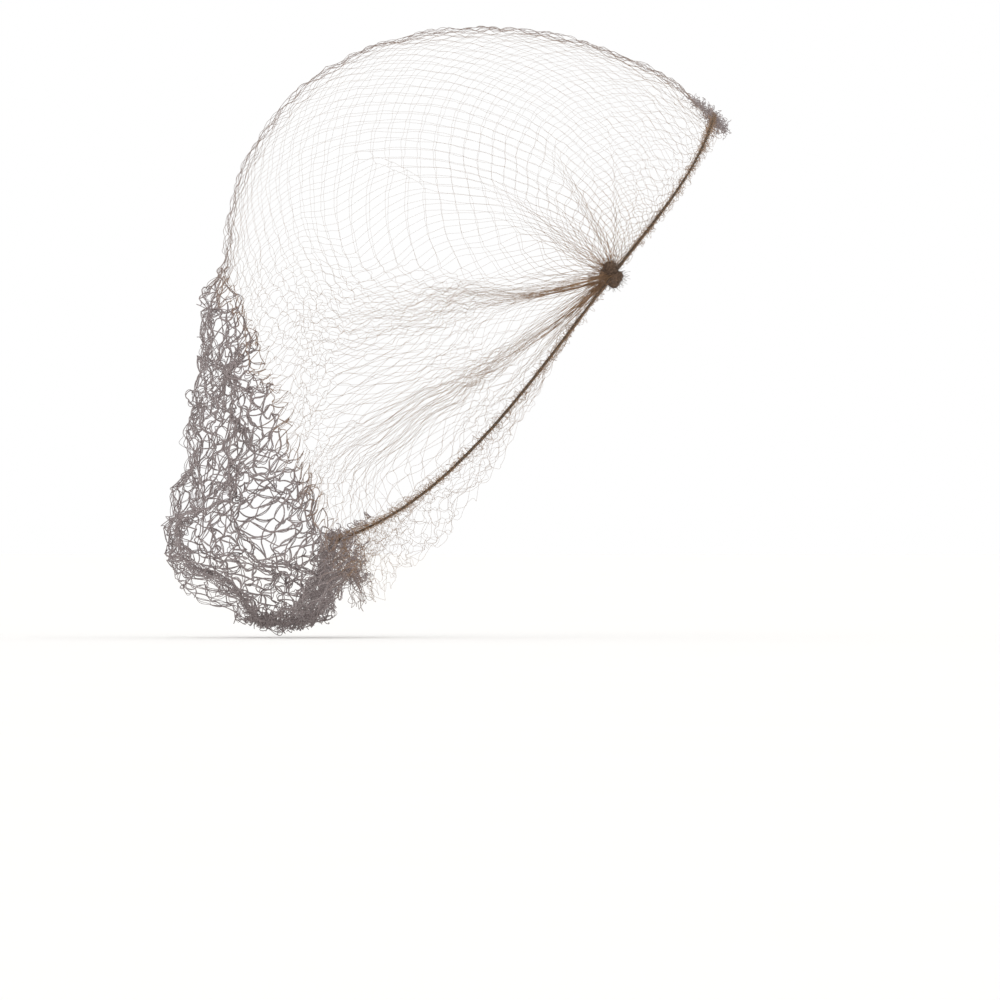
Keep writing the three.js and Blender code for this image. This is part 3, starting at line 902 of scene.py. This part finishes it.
def wound_lobe(middle, radius, stretch, turns, seed):
    steady = np.random.default_rng(seed)
    pole = unit(knot_axis + steady.normal(0, 0.75, (turns, 3)))
    first = unit(np.cross(pole, steady.normal(size=(turns, 3))))
    second = np.cross(pole, first)
    turn = np.linspace(0, 2 * np.pi, 15)[None, :, None]
    reach = radius * steady.uniform(0.8, 1.08, (turns, 1, 1)) * (1 + 0.07 * np.sin(3 * turn))
    height = radius * steady.uniform(-0.75, 0.75, (turns, 1, 1))
    ring = np.sqrt(np.maximum(reach**2 - height**2, 0.05))
    loops = ring * (np.cos(turn) * first[:, None] + np.sin(turn) * second[:, None]) + height * pole[:, None]
    along = np.sum(loops * knot_axis, axis=-1, keepdims=True)
    return middle + loops + (stretch - 1) * along * knot_axis


# %% [markdown]
# Both lobes of a knot are one piece, and its frayed fibres another: each fibre starts on a turn of the binding
# and bends away from the middle.

# %% Spin both knots
for name, side in (("knot_right", -1), ("knot_left", 1)):
    centre = np.array([KNOT_AHEAD, side * (KNOT_SPAN + KNOT_STANDS_OUT), -KNOT_BELOW])
    lobes = [
        wound_lobe(centre + place * knot_axis, radius, stretch, LOBE_TURNS, 5 + i)
        for i, (place, radius, stretch) in enumerate(KNOT_LOBES)
    ]
    lobes = np.concatenate(lobes)
    spin(name + "_binding", lobes, np.full(len(lobes), BINDING_RADIUS), np.zeros(len(lobes)), binding_thread,
         [name], sides=5)
    frayed = np.random.default_rng(21)
    roots = lobes[frayed.integers(0, len(lobes), FRAY_COUNT), frayed.integers(0, 15, FRAY_COUNT)]
    heading = unit(roots - centre) + frayed.normal(0, 0.6, roots.shape)
    share = np.linspace(0, 1, 6)[None, :, None]
    fibres = roots[:, None] + frayed.uniform(0.4, 1.6, (FRAY_COUNT, 1, 1)) * share * heading[:, None]
    fibres = fibres + share**2 * frayed.normal(0, 0.7, (FRAY_COUNT, 1, 3))
    spin(name + "_fray", fibres, np.full(FRAY_COUNT, 0.05), np.zeros(FRAY_COUNT), binding_thread,
         [name], sides=3)

# %% [markdown]
# The lattice ends in a ring round each knot. A short tail from each of its last ties closes the gap.

# %% Run the ends of the net into the knots
for name, side, last_row in (("knot_right", -1, -HALF_ROWS), ("knot_left", 1, HALF_ROWS)):
    centre = np.array([KNOT_AHEAD, side * (KNOT_SPAN + KNOT_STANDS_OUT), -KNOT_BELOW])
    outer = ties[np.abs(row - last_row) <= 1]
    steady = np.random.default_rng(71)
    inner = centre + steady.normal(0, 0.9, outer.shape)
    share = np.linspace(0, 1, 5)[None, :, None]
    tails = outer[:, None] * (1 - share) + inner[:, None] * share
    tails = tails + np.sin(np.pi * share) * steady.normal(0, 0.35, (len(outer), 1, 3))
    spin(name + "_tails", tails, np.full(len(outer), GATHERED_THREAD), np.zeros(len(outer)), net_thread,
         ["net"], sides=3)

# %% [markdown]
# ## Floor and light
# A plain pale floor under the pouch, a white surround and one large soft lamp above and in front of the
# right side.

# %% Floor, light and surround
visual_low, visual_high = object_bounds()
floor_mesh = bpy.data.meshes.new("floor")
FLOOR_HALF = 9.0
floor_height = visual_low.z - 0.0005
floor_mesh.from_pydata(
    [(x, y, floor_height) for x, y in ((-FLOOR_HALF, -FLOOR_HALF), (FLOOR_HALF, -FLOOR_HALF),
                                       (FLOOR_HALF, FLOOR_HALF), (-FLOOR_HALF, FLOOR_HALF))],
    [], [(0, 1, 2, 3)])
floor = bpy.data.objects.new("floor", floor_mesh)
bpy.context.scene.collection.objects.link(floor)
floor_finish = Finish("pale_floor")
floor_colour = floor_finish.mix(floor_finish.noise(9.0), linear(243, 242, 240), linear(245, 244, 242))
floor_finish.set(Base_Color=floor_colour, Roughness=0.9)
floor_mesh.materials.append(floor_finish.material)

lamp = bpy.data.objects.new("soft_lamp", bpy.data.lights.new("soft_lamp", "SUN"))
lamp.data.angle = math.radians(50)
lamp.data.energy = 0.55
lamp.location = (-0.5, -1.1, 1.1)
lamp.rotation_euler = (Vector((0, 0, -0.1)) - lamp.location).to_track_quat("-Z", "Y").to_euler()
bpy.context.scene.collection.objects.link(lamp)

world = bpy.data.worlds.new("white_surround")
world.use_nodes = True
world.node_tree.nodes["Background"].inputs["Color"].default_value = (1, 1, 1, 1)
world.node_tree.nodes["Background"].inputs["Strength"].default_value = 1.0
bpy.context.scene.world = world
bpy.context.scene.view_settings.view_transform = "Standard"
print(f"floor at {floor_height:.4f} m")
